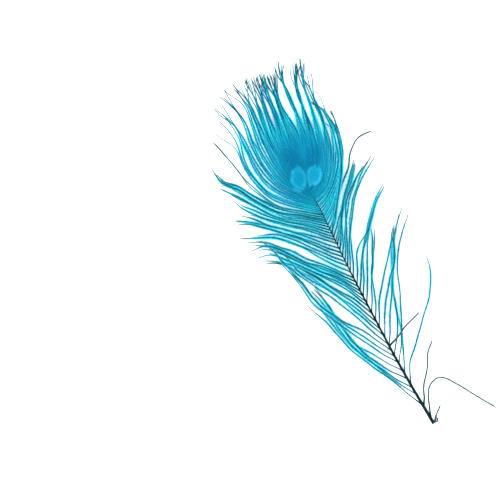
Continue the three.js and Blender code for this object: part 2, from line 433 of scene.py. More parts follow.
LOOSE = Habit(
    gather=(0.14, 0.48), spread=2.6, stray=1.8, ramus=(0.40, 0.27), fringe=2.20, fringe_tip=0.28,
    hold=0.97, ribbons=2, neck=0.7, shortest=0.80,
)
CLUNG = Habit(
    gather=(0.15, 0.50), spread=1.4, stray=1.5, ramus=(0.40, 0.27), fringe=2.20, fringe_tip=0.30,
    hold=0.97, ribbons=2, neck=0.6, shortest=0.92,
)
CLOSED = Habit(
    gather=(0.36, 0.68), spread=1.5, stray=3.0, ramus=(0.25, 0.33), fringe=2.12, fringe_tip=0.26,
    ribbons=2, neck=0.55, shortest=0.94, thins_from=0.54,
)
LONE = Habit(
    gather=(0.10, 0.50), spread=0.4, stray=0.5, ramus=(0.28, 0.30), fringe=1.00, fringe_tip=0.45,
    greys_from=0.50,
)
CURLED = Habit(
    gather=(0.10, 0.50), spread=0.4, stray=0.5, ramus=(0.28, 0.62), fringe=2.10, fringe_tip=0.40,
    thins_from=0.55, greys_from=0.30,
)
BARE = Habit(gather=(0.10, 0.50), spread=0.6, stray=0.8, ramus=(0.60, 0.50), fringe=0.95, fringe_tip=0.70)


class Guide:
    """A lock's middle line, from the side of the shaft to the tips."""

    ROOT_GAP = 0.65  # from the shaft's skin to the middle of the solid's root

    def __init__(self, lock: Lock, line: ShaftLine) -> None:
        """Lay the lock's course.

        Args:
            lock: the lock.
            line: the shaft that it grows on.
        """
        self.lock = lock
        share = min(lock.station / line.length, 1.0)
        middle = line.curve.at(share)[0]
        across = line.curve.across(share)[0]
        along = np.array([-across[1], across[0]])
        clear = line.radius(share) + self.ROOT_GAP
        out = along * self.ROOT_GAP if lock.side is Side.END else across * clear * lock.side.value
        self.course = Course(np.vstack([middle + out, lock.course]))


class Vane:
    """Lays out every barb of the feather between the guides of its locks."""

    # Where the barbs leave the shaft. Stations are millimetres up the shaft.
    STATIONS = (0.0, 40.0, 80.0, 115.0, 145.0, 170.0, 184.0, 190.0, 196.0)
    SPACING = (8.0, 6.6, 5.6, 4.2, 3.0, 1.6, 1.05, 0.62, 0.43)  # at those stations, on the left
    RIGHT_SPACING = 1.2  # the right side is the sparser one
    SPACING_RANGE = (0.75, 1.25)
    LOWEST_LEFT = 16.0  # station of the first barb of the closed vane
    LOWEST_RIGHT = 33.0
    END_BARBS = 22
    ROOT_HOLD = 0.14  # share of the length over which a barb swings from its own root to its guides
    ROOT_SINK = 0.30  # in radii of the shaft: how far from its middle line the roots start

    # How a barb runs with its lock. Pairs are shares of the length from which and up to which it does so.
    STEP = 1.5  # millimetres from one point to the next
    FEWEST_POINTS = 9
    SHORT_BARBS = 1.6  # above 1, most barbs are nearly as long as their guide
    PARTING = (0.08, 0.55)  # where barbs part at the edge of the head
    EARLY = 0.08  # how much sooner or later than the others a barb closes up
    JOINED_HOLD = (0.6, 0.92)  # how far barbs close up between joined locks, in the head and in the crown
    JOINED_UNTIL = (0.45, 0.72)
    STRAY_CHANCE = 0.14
    STRAY_HOLD = 0.5  # how far a stray barb closes up with the others of its lock
    RIBBON_CLING = 0.85  # how far the barbs of one ribbon draw together
    NEARLY_HALF = 0.4999  # keeps the last place within the last ribbon
    NECK_AT = 0.95
    PARTS_AGAIN = (0.58, 0.84)  # range of the share from which a barb strays from its lock
    PARTING_BEND = 1.4  # above 1, the tips part late
    WANDER = 0.42  # millimetres
    SWAY = 0.28  # millimetres
    SWAYS = (0.08, 0.4)
    WAVES = ((46.0, 0.7), (19.0, 0.3))  # period in millimetres and weight
    WAVE_RANGE = (0.8, 1.25)

    # How high it lies, in millimetres.
    LOCK_BOW = 2.4
    BOWED_LENGTH = 60.0  # of the locks that bow fully
    LAYER_RISE = 0.95
    LAYER_REACHED_AT = 0.3  # share of the length
    TIP_HEIGHT = 0.65
    LOWEST = 0.58
    HEIGHT_SPREAD = 0.25
    HEIGHT_WAVE = 0.22
    HEIGHT_WAVE_LENGTH = 100.0
    LOOSENS = (0.02, 0.2)

    # How thick, dark and fringed it is.
    FULL_STATIONS = (0.0, 100.0, 150.0, 196.0)
    FULL_FROM = (0.32, 0.20, 0.10, 0.05)  # share of a barb's length at which its barbules are full grown
    FRINGE_ROOT = (0.35, 0.50, 0.75, 0.95)  # share of their full length at the root
    DARK_ROOT = (1.0, 1.0, 0.85, 0.0)
    DARK_ROOT_LENGTH = (0.02, 0.25)
    FRINGE_WAVE = 0.16
    FRINGE_RANGE = (0.85, 1.12)
    TONE_SPREAD = 0.22
    TONE_WAVE = 0.16
    RAMUS_TAPER = 0.8
    RAMUS_RANGE = (0.85, 1.15)
    POINTED = 0.55  # share of its thickness that a ramus loses at its very tip
    POINTED_FROM = 0.97

    def __init__(self, line: ShaftLine, locks: tuple[Lock, ...], seed: int) -> None:
        """Lay the guides.

        Args:
            line: the shaft.
            locks: every lock.
            seed: what the barbs' differences are drawn from.
        """
        self.line = line
        self.random = np.random.default_rng(seed)
        self.lone = [Guide(lock, line) for lock in locks if lock.lone]
        grown = [Guide(lock, line) for lock in locks if not lock.lone]
        self.guides = sorted(grown, key=lambda guide: guide.lock.order)
        self.barbs: dict[str, list[Barb]] = {lock.name: [] for lock in locks}

    def lay(self) -> dict[str, list[Barb]]:
        """Lay every barb.

        Returns:
            The barbs of each lock by the lock's name.
        """
        for order in self._orders():
            self._lay_between(order)
        for guide in self.lone:
            count = guide.lock.lone
            for place in np.linspace(-0.5, 0.5, count) if count > 1 else (0.0,):
                self._lay_one(guide, guide, 0.0, float(place), guide.lock.order)
            for bit in guide.lock.bits:
                end = Guide(replace(guide.lock, course=bit), self.line)
                self._lay_one(end, end, 0.0, 0.0, guide.lock.order)
        return self.barbs

    def _orders(self) -> list[float]:
        """Space the roots: down to a fraction of a millimetre at the eye, and wide near the quill.

        Returns:
            The roots' places in the running order.
        """
        orders: list[float] = []
        for lowest, wider, turn in (
            (self.LOWEST_LEFT, 1.0, lambda station: station),
            (self.LOWEST_RIGHT, self.RIGHT_SPACING, lambda station: RUN_LENGTH - station),
        ):
            station = lowest
            while station < self.line.length:
                orders.append(turn(station))
                spacing = float(np.interp(station, self.STATIONS, self.SPACING)) * wider
                station += spacing * self.random.uniform(*self.SPACING_RANGE)
        end = np.linspace(self.line.length, self.line.length + END_FAN, self.END_BARBS + 2)[1:-1]
        return sorted([*orders, *end])

    def _lay_between(self, order: float) -> None:
        """Lay one barb between its two neighbouring guides.

        Args:
            order: the root's place in the running order.
        """
        orders = [guide.lock.order for guide in self.guides]
        upper = int(np.clip(np.searchsorted(orders, order), 1, len(orders) - 1))
        first, second = self.guides[upper - 1], self.guides[upper]
        share = (order - first.lock.order) / (second.lock.order - first.lock.order)
        share = float(np.clip(share, 0.0, 1.0))
        nearest, other = (first, second) if share < 0.5 else (second, first)
        away = share if share < 0.5 else 1.0 - share
        sign = 1.0 if share < 0.5 else -1.0
        turned = sign if nearest.lock.side is not Side.RIGHT else -sign
        self._lay_one(nearest, other, away, turned * away, order)

    def _root(self, order: float) -> tuple[np.ndarray, float]:
        """Find where the barb at a place in the running order leaves the shaft.

        Args:
            order: the place in the running order.

        Returns:
            The plan point and the height.
        """
        length = self.line.length
        side = Side.LEFT if order < length else Side.END if order <= length + END_FAN else Side.RIGHT
        if side is Side.END:
            share, lean = 1.0, (order - length) / END_FAN * 2.0 - 1.0
        else:
            station = order if side is Side.LEFT else RUN_LENGTH - order
            share, lean = station / length, float(side.value)
        sink = self.line.radius(share) * self.ROOT_SINK
        point = self.line.curve.at(share)[0] + self.line.curve.across(share)[0] * sink * lean
        return point, float(self.line.height(share))

    def _wave(self, share: np.ndarray, length: float) -> np.ndarray:
        """Give a slow random wave along a barb.

        Args:
            share: shares of the barb's length.
            length: its length in millimetres.

        Returns:
            The wave, of about unit height.
        """
        wave = np.zeros_like(share)
        for period, weight in self.WAVES:
            turn = self.random.uniform(0.0, 2.0 * math.pi)
            own_period = period * self.random.uniform(*self.WAVE_RANGE)
            wave += weight * np.sin(2.0 * math.pi * share * length / own_period + turn)
        return wave

    def _lay_one(self, nearest: Guide, other: Guide, away: float, place: float, order: float) -> None:
        """Lay one barb and give it to its nearest lock.

        Args:
            nearest: the guide that the barb closes up with.
            other: the guide on the barb's other side.
            away: how far the root is from the nearest guide towards the other, 0 to 0.5.
            place: where in the gathered lock it lies, from -0.5 on its left to 0.5 on its right.
            order: the root's place in the running order.
        """
        lock = nearest.lock
        habit = lock.habit
        reach = 1.0
        if lock.lone != 1:
            reach -= (1.0 - habit.shortest) * self.random.random() ** self.SHORT_BARBS
        length = nearest.course.length * reach
        share = np.linspace(0.0, 1.0, max(self.FEWEST_POINTS, math.ceil(length / self.STEP)))
        walked = share * reach

        gather = habit.gather if lock.part is other.lock.part else self.PARTING
        closed = self._closed(lock, other.lock, walked, gather)
        aside = away * (1.0 - closed)
        plan = blend(nearest.course.at(walked), other.course.at(walked), aside[:, None])

        width = habit.spread * (1.0 - (1.0 - habit.neck) * smooth(walked, gather[1], self.NECK_AT))
        wander = self.WANDER * self._wave(share, length)
        parts_from = self.random.uniform(*self.PARTS_AGAIN)
        stray = self.random.normal() * habit.stray * smooth(share, parts_from, 1.0) ** self.PARTING_BEND
        sway = self.SWAY * self._wave(share, length) * smooth(share, *self.SWAYS)
        ribbon = (math.floor((place + self.NEARLY_HALF) * habit.ribbons) + 0.5) / habit.ribbons - 0.5
        cling = self.RIBBON_CLING * smooth(walked, *gather)
        sideways = (2.0 * blend(place, ribbon, cling) * width + wander) * closed + stray + sway
        plan = plan + nearest.course.across(walked) * sideways[:, None]

        root, root_height = self._root(order)
        plan = plan + (root - plan[0]) * (1.0 - smooth(share, 0.0, self.ROOT_HOLD))[:, None]
        height = self._heights(walked, share, root_height, nearest, other, aside)
        points = np.column_stack([plan, height])
        self.barbs[lock.name].append(self._dressed(lock, points, share, length))

    def _closed(self, lock: Lock, other: Lock, walked: np.ndarray, gather: Pair) -> np.ndarray:
        """Find how far a barb has closed up with its lock.

        Args:
            lock: the barb's lock.
            other: the lock on the barb's other side.
            walked: shares of the guide's length.
            gather: the shares between which the barb closes up.

        Returns:
            The shares of its way over to the lock's middle.
        """
        early = self.random.uniform(-self.EARLY, self.EARLY)
        closed = lock.habit.hold * smooth(walked, gather[0] + early, gather[1] + early)
        if min(lock, other, key=lambda each: each.order).joined:
            closed = closed * blend(*self.JOINED_HOLD, smooth(walked, *self.JOINED_UNTIL))
        if not lock.lone and self.random.random() < self.STRAY_CHANCE:
            closed = closed * self.STRAY_HOLD
        return closed

    def _heights(
        self,
        walked: np.ndarray,
        share: np.ndarray,
        root: float,
        own: Guide,
        other: Guide,
        aside: np.ndarray,
    ) -> np.ndarray:
        """Lay a barb over the table and over the locks that it crosses.

        Args:
            walked: shares of the guide's length.
            share: shares of the barb's own length.
            root: height of the root.
            own: the guide that the barb follows.
            other: the guide on the barb's other side.
            aside: how much of its way the barb takes from the other guide.

        Returns:
            The heights in millimetres.
        """
        fallen = blend(root, self.TIP_HEIGHT, smooth(walked))
        layer = blend(own.lock.layer, other.lock.layer, aside) * self.LAYER_RISE
        lifted = layer * smooth(walked, 0.0, self.LAYER_REACHED_AT)
        bow = self.LOCK_BOW * min(1.0, own.course.length / self.BOWED_LENGTH)
        uneven = self.HEIGHT_SPREAD * self.random.normal()
        uneven = uneven + self.HEIGHT_WAVE * self._wave(share, self.HEIGHT_WAVE_LENGTH)
        loose = uneven * smooth(share, *self.LOOSENS)
        height = fallen + 4.0 * bow * walked * (1.0 - walked) + lifted + loose
        return np.maximum(height, self.LOWEST)

    def _dressed(self, lock: Lock, points: np.ndarray, share: np.ndarray, length: float) -> Barb:
        """Give a laid barb its dye, its thickness and its fringe.

        Args:
            lock: the barb's lock.
            points: the points of its ramus.
            share: their shares of its length.
            length: its length in millimetres.

        Returns:
            The barb.
        """
        habit = lock.habit
        full_from, sparse, dark = (
            float(np.interp(lock.station, self.FULL_STATIONS, values))
            for values in (self.FULL_FROM, self.FRINGE_ROOT, self.DARK_ROOT)
        )
        rooted = (1.0 - smooth(share, *self.DARK_ROOT_LENGTH)) * dark
        tone = 0.5 + self.TONE_SPREAD * self.random.normal() + self.TONE_WAVE * self._wave(share, length)
        ramus = blend(*habit.ramus, share**self.RAMUS_TAPER) * self.random.uniform(*self.RAMUS_RANGE)
        ramus = ramus * (1.0 - self.POINTED * smooth(share, self.POINTED_FROM, 1.0))
        grown = blend(sparse, 1.0, smooth(share, 0.0, full_from))
        worn = blend(1.0, habit.fringe_tip, smooth(share, habit.thins_from, 1.0))
        fringe = habit.fringe * grown * worn * (1.0 + self.FRINGE_WAVE * self._wave(share, length))
        fringe = fringe * self.random.uniform(*self.FRINGE_RANGE)
        grey = smooth(share, habit.greys_from, 1.0)
        return Barb(points, grey, np.clip(tone, 0.0, 1.0), rooted, ramus, fringe)


# --------------------------------------------------------------------------------------------------------
# Nodes
# --------------------------------------------------------------------------------------------------------


def opaque(colour: Colour) -> tuple[float, float, float, float]:
    """Give a colour its full opacity."""
    return (*colour, 1.0)


class Wiring:
    """A node tree that is being wired up."""

    def __init__(self, tree: Tree) -> None:
        """Take the tree to wire."""
        self.tree = tree

    def feed(self, socket: Socket, value: object) -> None:
        """Feed a socket.

        Args:
            socket: the socket.
            value: a socket to link it to, or the plain value to set it to.
        """
        if isinstance(value, Socket):
            self.tree.links.new(value, socket)
        else:
            socket.default_value = opaque(value) if socket.type == "RGBA" else value

    def add(
        self, kind: str, inputs: dict[str | int, object] | None = None, **settings: object
    ) -> bpy.types.Node:
        """Add a node.

        Args:
            kind: the node's type name.
            inputs: what feeds its sockets, by socket name or number.
            settings: the node's own options.

        Returns:
            The node.
        """
        node = self.tree.nodes.new(kind)
        for name, value in settings.items():
            setattr(node, name, value)
        for key, value in (inputs or {}).items():
            self.feed(node.inputs[key], value)
        return node

    def maths(self, operation: str, *values: object) -> Socket:
        """Work out a number from others and give its socket."""
        return self.add("ShaderNodeMath", dict(enumerate(values)), operation=operation).outputs[0]

    def vector(self, operation: str, *values: object) -> Socket:
        """Work out a vector from others and give its socket."""
        return self.add("ShaderNodeVectorMath", dict(enumerate(values)), operation=operation).outputs[0]

    def scaled(self, direction: object, size: object) -> Socket:
        """Scale a vector by a number and give its socket."""
        return self.add("ShaderNodeVectorMath", {0: direction, "Scale": size}, operation="SCALE").outputs[0]

    def ramp(self, value: object, low: object, high: object, start: float = 0.0, end: float = 1.0) -> Socket:
        """Run smoothly from start to end while a value goes from low to high, and give the socket."""
        inputs = {"Value": value, "From Min": low, "From Max": high, "To Min": start, "To Max": end}
        return self.add("ShaderNodeMapRange", inputs, interpolation_type="SMOOTHSTEP").outputs["Result"]

    def mix(self, share: object, first: object, second: object) -> Socket:
        """Mix two colours and give the socket."""
        return self.add("ShaderNodeMix", {0: share, 6: first, 7: second}, data_type="RGBA").outputs[2]

    def attribute(self, name: str) -> Socket:
        """Read a number that a mesh carries, in a geometry tree, and give its socket."""
        return self.add("GeometryNodeInputNamedAttribute", {"Name": name}).outputs["Attribute"]

    def group(self, tree: Tree, inputs: dict[str, object]) -> Socket:
        """Place a shader group and give the socket of its first output."""
        return self.add("ShaderNodeGroup", inputs, node_tree=tree).outputs[0]


@dataclass(frozen=True)
class Herl:
    """The rule that clothes a bare barb line: a ramus with a fringe of barbules down both sides."""

    pitch: float = 0.21
    barbule_width: float = 0.17  # half the blade's foot
    barbule_thickness: float = 0.03
    lean: float = 52.0  # degrees between a barbule and its ramus
    lean_range: float = 15.0
    lift: Pair = (-0.26, 0.06)  # rise of a barbule over its reach
    length_range: Pair = (0.7, 1.15)  # of a barbule, in shares of the fringe's length
    ramus_sides: int = 4
    tree_name: str = "Herl"
    next_piece: float = 10.0  # from one piece's random runs to the next
    next_side: float = 3.0

    def tree(self) -> Tree:
        """Build the tree.

        Returns:
            The geometry node tree, which ends in Realize Instances and Set Material.
        """
        tree = bpy.data.node_groups.new(self.tree_name, "GeometryNodeTree")
        face = tree.interface
        face.new_socket("Barbs", in_out="INPUT", socket_type="NodeSocketGeometry")
        for name in ("Pitch", "Barbule Width", "Barbule Thickness"):
            face.new_socket(name, in_out="INPUT", socket_type="NodeSocketFloat")
        face.new_socket("Seed", in_out="INPUT", socket_type="NodeSocketInt")
        face.new_socket("Dye", in_out="INPUT", socket_type="NodeSocketMaterial")
        face.new_socket("Herl", in_out="OUTPUT", socket_type="NodeSocketGeometry")
        wiring = Wiring(tree)
        given = wiring.add("NodeGroupInput").outputs
        lines = wiring.add("GeometryNodeMeshToCurve", {"Mesh": given["Barbs"]}).outputs["Curve"]
        level = wiring.add("GeometryNodeSetCurveNormal", {"Curve": lines}, mode="Z_UP").outputs["Curve"]

        ramus = self._ramus(wiring, level)
        barbule = self._barbule(wiring)
        inputs = {"Curve": level, "Length": given["Pitch"]}
        roots = wiring.add("GeometryNodeCurveToPoints", inputs, mode="LENGTH")
        join = wiring.add("GeometryNodeJoinGeometry", {0: ramus})
        for number, side in enumerate((1.0, -1.0)):
            wiring.feed(join.inputs[0], self._fringe(wiring, given, roots, barbule, side, number))
        realized = wiring.add("GeometryNodeRealizeInstances", {"Geometry": join.outputs[0]}).outputs[0]
        inputs = {"Geometry": realized, "Material": given["Dye"]}
        wiring.add("NodeGroupOutput", {0: wiring.add("GeometryNodeSetMaterial", inputs).outputs[0]})
        return tree

    def _ramus(self, wiring: Wiring, lines: Socket) -> Socket:
        """Give the barb lines their thickness, and mark it bare.

        Args:
            wiring: the tree.
            lines: the socket of the barb lines.

        Returns:
            The socket of the rami.
        """
        ring = wiring.add("GeometryNodeCurvePrimitiveCircle", {"Resolution": self.ramus_sides, "Radius": 1.0})
        inputs = {
            "Curve": lines,
            "Profile Curve": ring.outputs[0],
            "Scale": wiring.attribute("ramus"),
            "Fill Caps": True,
        }
        tube = wiring.add("GeometryNodeCurveToMesh", inputs).outputs[0]
        inputs = {"Geometry": tube, "Name": "bare", "Value": 1.0}
        return wiring.add("GeometryNodeStoreNamedAttribute", inputs).outputs[0]

    def _barbule(self, wiring: Wiring) -> Socket:
        """Make one barbule, a closed pointed blade a metre long that knows its reach.

        Args:
            wiring: the tree.

        Returns:
            The socket of the blade.
        """
        inputs = {"Vertices": 3, "Radius Top": 0.0, "Radius Bottom": 1.0, "Depth": 1.0}
        blade = wiring.add("GeometryNodeMeshCone", inputs).outputs["Mesh"]
        place = wiring.add("GeometryNodeInputPosition").outputs[0]
        reach = wiring.add("ShaderNodeSeparateXYZ", {0: place}).outputs["Z"]
        inputs = {"Geometry": blade, "Name": "reach", "Value": reach}
        return wiring.add("GeometryNodeStoreNamedAttribute", inputs).outputs[0]

    def _fringe(
        self,
        wiring: Wiring,
        given: bpy.types.NodeOutputs,
        roots: bpy.types.Node,
        barbule: Socket,
        side: float,
        number: int,
    ) -> Socket:
        """Set the barbules along one side of the barbs.

        Args:
            wiring: the tree.
            given: the tree's inputs.
            roots: the node that gives the roots of the barbules.
            barbule: the blade.
            side: 1 or -1.
            number: the side's number, for its own random run.

        Returns:
            The socket of the instances.
        """
        seed = wiring.maths("MULTIPLY_ADD", given["Seed"], self.next_piece, number * self.next_side)

        def chance(low: float, high: float, run: int) -> Socket:
            """Draw a random number for each barbule."""
            inputs = {"Min": low, "Max": high, "Seed": wiring.maths("ADD", seed, float(run))}
            return wiring.add("FunctionNodeRandomValue", inputs).outputs["Value"]

        leans = (math.radians(self.lean - self.lean_range), math.radians(self.lean + self.lean_range))
        lean = chance(*leans, 0)
        forward = wiring.scaled(roots.outputs["Tangent"], wiring.maths("COSINE", lean))
        outward = wiring.maths("MULTIPLY", wiring.maths("SINE", lean), side)
        sideways = wiring.scaled(roots.outputs["Normal"], outward)
        rise = wiring.add("ShaderNodeCombineXYZ", {"Z": chance(*self.lift, 1)}).outputs[0]
        heading = wiring.vector("ADD", wiring.vector("ADD", forward, sideways), rise)
        axes = {"Primary Axis": heading, "Secondary Axis": (0.0, 0.0, 1.0)}
        turn = wiring.add("FunctionNodeAxesToRotation", axes, primary_axis="Z", secondary_axis="X")

        length = wiring.maths("MULTIPLY", wiring.attribute("fringe"), chance(*self.length_range, 2))
        sizes = {"X": given["Barbule Thickness"], "Y": given["Barbule Width"], "Z": length}
        inputs = {
            "Points": roots.outputs["Points"],
            "Instance": barbule,
            "Rotation": turn.outputs[0],
            "Scale": wiring.add("ShaderNodeCombineXYZ", sizes).outputs[0],
        }
        return wiring.add("GeometryNodeInstanceOnPoints", inputs).outputs[0]

    def clothe(
        self,
        name: str,
        barbs: list[Barb],
        tree: Tree,
        dye: bpy.types.Material,
        seed: int,
        place: Placement,
    ) -> bpy.types.Object:
        """Turn bare barb lines into the finished mesh of one lock.

        Args:
            name: the piece's name.
            barbs: the lock's barbs.
            tree: this rule's tree.
            dye: the lock's material.
            seed: what the barbules' differences are drawn from.
            place: where the feather lies in the frame.

        Returns:
            The lock as a plain mesh object.
        """
        lines = bpy.data.meshes.new(f"{name}_lines")
        starts = np.cumsum([0, *(len(barb.points) for barb in barbs)])
        points = place.metres(np.vstack([barb.points for barb in barbs]))
        joins = np.setdiff1d(np.arange(len(points)), starts[1:] - 1)
        lines.from_pydata(points.tolist(), np.column_stack([joins, joins + 1]).tolist(), [])
        for key, unit in BARB_VALUES.items():
            values = np.concatenate([getattr(barb, key) for barb in barbs]) * unit
            lines.attributes.new(key, "FLOAT", "POINT").data.foreach_set("value", values.astype(np.float32))

        bare = bpy.data.objects.new(f"{name}_bare", lines)
        bpy.context.scene.collection.objects.link(bare)
        growth = bare.modifiers.new(self.tree_name, "NODES")
        growth.node_group = tree
        values = {
            "Pitch": self.pitch * MM,
            "Barbule Width": self.barbule_width * MM,
            "Barbule Thickness": self.barbule_thickness * MM,
            "Seed": seed,
            "Dye": dye,
        }
        for item in tree.interface.items_tree:
            if item.in_out == "INPUT" and item.name in values:
                growth[item.identifier] = values[item.name]
        grown = bare.evaluated_get(bpy.context.evaluated_depsgraph_get())
        mesh = bpy.data.meshes.new_from_object(grown)
        mesh.name = name
        bare.modifiers.clear()
        bpy.data.objects.remove(bare)
        bpy.data.meshes.remove(lines)
        return bpy.data.objects.new(name, mesh)


# --------------------------------------------------------------------------------------------------------
# Finishes
# --------------------------------------------------------------------------------------------------------


class Effects:
    """The shader node groups that the finishes share."""

    CLOUD_DETAIL = 3.0
    CLOUD_EDGES = (0.3, 0.7)
    TONE_WEIGHT = 0.75  # of a barb's own tone in the depth of its dye
    DRIFT_WEIGHT = 0.35
    DEPTH_EDGES = (0.25, 0.85)
    PAINTED_HIGHLIGHT_EDGES = (0.25, 1.0)  # the reach over which a barbule pales to its fringe colour, a painted highlight
    GREY_EDGES = (0.1, 0.9)
    GREYED = (0.45, 0.95)  # how grey a tip turns, least and most

    def __init__(self, place: Placement) -> None:
        """Build every group once.

        Args:
            place: where the feather lies in the frame.
        """
        self.place = place
        self.drift = self._drift()
        self.barb = self._barb()
        self.oval = self._oval()

    def _group(
        self, name: str, inputs: dict[str, str], outputs: dict[str, str]
    ) -> tuple[Wiring, bpy.types.NodeOutputs]:
        """Start a group.

        Args:
            name: the group's name.
            inputs: its inputs, name to kind of socket.
            outputs: its outputs, name to kind of socket.

        Returns:
            The wiring and the sockets of the group's inputs.
        """
        tree = bpy.data.node_groups.new(name, "ShaderNodeTree")
        for direction, sockets in (("INPUT", inputs), ("OUTPUT", outputs)):
            for key, kind in sockets.items():
                tree.interface.new_socket(key, in_out=direction, socket_type=f"NodeSocket{kind}")
        wiring = Wiring(tree)
        return wiring, wiring.add("NodeGroupInput").outputs

    def _drift(self) -> Tree:
        """Build the uneven take-up of the dye.

        Returns:
            The group, whose output is a cloudy value from 0 to 1.
        """
        inputs = {"Place": "Vector", "Cloud Size": "Float"}
        wiring, given = self._group("Dye Drift", inputs, {"Drift": "Float"})
        scale = wiring.maths("DIVIDE", 1.0, given["Cloud Size"])
        inputs = {"Vector": given["Place"], "Scale": scale, "Detail": self.CLOUD_DETAIL}
        clouds = wiring.add("ShaderNodeTexNoise", inputs).outputs[0]
        wiring.add("NodeGroupOutput", {0: wiring.ramp(clouds, *self.CLOUD_EDGES)})
        return wiring.tree

    def _barb(self) -> Tree:
        """Build the run of the dye along a barb, and the painted highlight out along its barbules.

        Returns:
            The group, whose output is the barb's colour.
        """
        colours = ("Root", "Body", "Deep", "Fringe", "Tip", "Ramus")
        values = ("Grey", "Tone", "Rooted", "Reach", "Bare", "Drift")
        inputs = {**dict.fromkeys(colours, "Color"), **dict.fromkeys(values, "Float")}
        wiring, given = self._group("Barb Dye and Painted Highlight", inputs, {"Colour": "Color"})
        clouded = wiring.maths("MULTIPLY", given["Drift"], self.DRIFT_WEIGHT)
        depth = wiring.maths("MULTIPLY_ADD", given["Tone"], self.TONE_WEIGHT, clouded)
        body = wiring.mix(wiring.ramp(depth, *self.DEPTH_EDGES), given["Body"], given["Deep"])
        # Painted highlight: the barbules pale to the fringe colour towards their tips.
        body = wiring.mix(wiring.ramp(given["Reach"], *self.PAINTED_HIGHLIGHT_EDGES), body, given["Fringe"])
        ramus = wiring.mix(given["Rooted"], given["Ramus"], given["Root"])
        body = wiring.mix(given["Bare"], body, ramus)
        greyed = wiring.ramp(given["Drift"], *self.GREY_EDGES, *self.GREYED)
        greyed = wiring.maths("MULTIPLY", given["Grey"], greyed)
        wiring.add("NodeGroupOutput", {0: wiring.mix(greyed, body, given["Tip"])})
        return wiring.tree

    def _oval(self) -> Tree:
        """Build a soft oval mark in plan.

        Returns:
            The group, whose output is a mask: 1 inside, 0 outside.
        """
        inputs = {**dict.fromkeys(("Place", "Centre", "Turn", "Radii"), "Vector"), "Softness": "Float"}
        wiring, given = self._group("Oval Mark", inputs, {"Mask": "Float"})
        inputs = {
            "Vector": given["Place"],
            "Location": given["Centre"],
            "Rotation": given["Turn"],
            "Scale": given["Radii"],
        }
        own = wiring.add("ShaderNodeMapping", inputs, vector_type="TEXTURE").outputs[0]
        away = wiring.add("ShaderNodeVectorMath", {0: own}, operation="LENGTH").outputs["Value"]
        inner = wiring.maths("SUBTRACT", 1.0, given["Softness"])
        outer = wiring.maths("ADD", 1.0, given["Softness"])
        wiring.add("NodeGroupOutput", {0: wiring.ramp(away, inner, outer, 1.0, 0.0)})
        return wiring.tree


def new_material(name: str) -> tuple[bpy.types.Material, Wiring, bpy.types.Node, bpy.types.Node]:
    """Start a material.

    Args:
        name: the material's name.

    Returns:
        The material, its wiring, its Principled shader and its output node.
    """
    material = bpy.data.materials.new(name)
    material.use_nodes = True
    nodes = material.node_tree.nodes
    nodes.clear()
    wiring = Wiring(material.node_tree)
    return material, wiring, wiring.add("ShaderNodeBsdfPrincipled"), wiring.add("ShaderNodeOutputMaterial")


@dataclass(frozen=True)
class Oval:
    """A soft oval mark of dye, in the feather's own millimetres."""

    centre: Pair
    radii: Pair
    softness: float
    colour: Colour
    turn: float = -28.0  # degrees from the shaft
    strength: float = 1.0


@dataclass(frozen=True)
class BarbDye:
    """The dye of one kind of barb, and the painted highlight on its barbules."""

    name: str
    root: Colour
    body: Colour
    deep: Colour
    # painted highlight: the pale colour that the barbules reach towards their tips
    fringe: Colour
    tip: Colour
    ramus: Colour
    roughness: float = 0.6
    gloss: float = 0.06
    glow: float = 0.55  # share of the light that passes through
    cloud: float = 14.0
    ramus_shows: float = 0.32  # how far a ramus stands out from the marks
    ragged: float = 2.6  # millimetres that the marks' edges shift with a barb's tone
    marks: tuple[Oval, ...] = ()

    def material(self, effects: Effects) -> bpy.types.Material:
        """Build the material.

        Args:
            effects: the shared groups.

        Returns:
            The material.
        """
        material, wiring, principled, output = new_material(self.name)
        place = wiring.add("ShaderNodeTexCoord").outputs["Object"]
        drift = wiring.group(effects.drift, {"Place": place, "Cloud Size": self.cloud * MM})
        inputs: dict[str, object] = {"Drift": drift}
        for key in ("grey", "tone", "rooted", "reach", "bare"):
            inputs[key.title()] = wiring.add("ShaderNodeAttribute", attribute_name=key).outputs["Fac"]
        for key in ("root", "body", "deep", "fringe", "tip", "ramus"):
            inputs[key.title()] = getattr(self, key)
        colour = self._marked(wiring, effects, place, inputs, wiring.group(effects.barb, inputs))
        principled.inputs["Roughness"].default_value = self.roughness
        principled.inputs["Specular IOR Level"].default_value = self.gloss
        wiring.feed(principled.inputs["Base Color"], colour)
        through = wiring.add("ShaderNodeBsdfTranslucent", {"Color": colour}).outputs[0]
        inputs = {0: self.glow, 1: principled.outputs[0], 2: through}
        wiring.feed(output.inputs["Surface"], wiring.add("ShaderNodeMixShader", inputs).outputs[0])
        return material

    def _marked(
        self, wiring: Wiring, effects: Effects, place: Socket, inputs: dict[str, object], colour: Socket
    ) -> Socket:
        """Lay the oval marks over a colour, ragged from barb to barb.

        Args:
            wiring: the material's wiring.
            effects: the shared groups.
            place: the socket of the place on the piece.
            inputs: the values that the barb's dye was made from.
            colour: the socket of the colour under the marks.

        Returns:
            The socket of the marked colour.
        """
        if not self.marks:
            return colour
        shake = wiring.maths("MULTIPLY", wiring.maths("SUBTRACT", inputs["Tone"], 0.5), self.ragged * MM)
        shift = wiring.add("ShaderNodeCombineXYZ", {"X": shake, "Y": shake}).outputs[0]
        ragged = wiring.vector("ADD", place, shift)
        for mark in self.marks:
            centre = effects.place.metres(np.array([*mark.centre, 0.0]))
            values = {
                "Place": ragged,
                "Centre": tuple(centre),
                "Turn": (0.0, 0.0, math.radians(mark.turn)),
                "Radii": (mark.radii[0] * MM, mark.radii[1] * MM, 1.0),
                "Softness": mark.softness,
            }
            mask = wiring.maths("MULTIPLY", wiring.group(effects.oval, values), mark.strength)
            colour = wiring.mix(mask, colour, mark.colour)
        return wiring.mix(wiring.maths("MULTIPLY", inputs["Bare"], self.ramus_shows), colour, self.ramus)


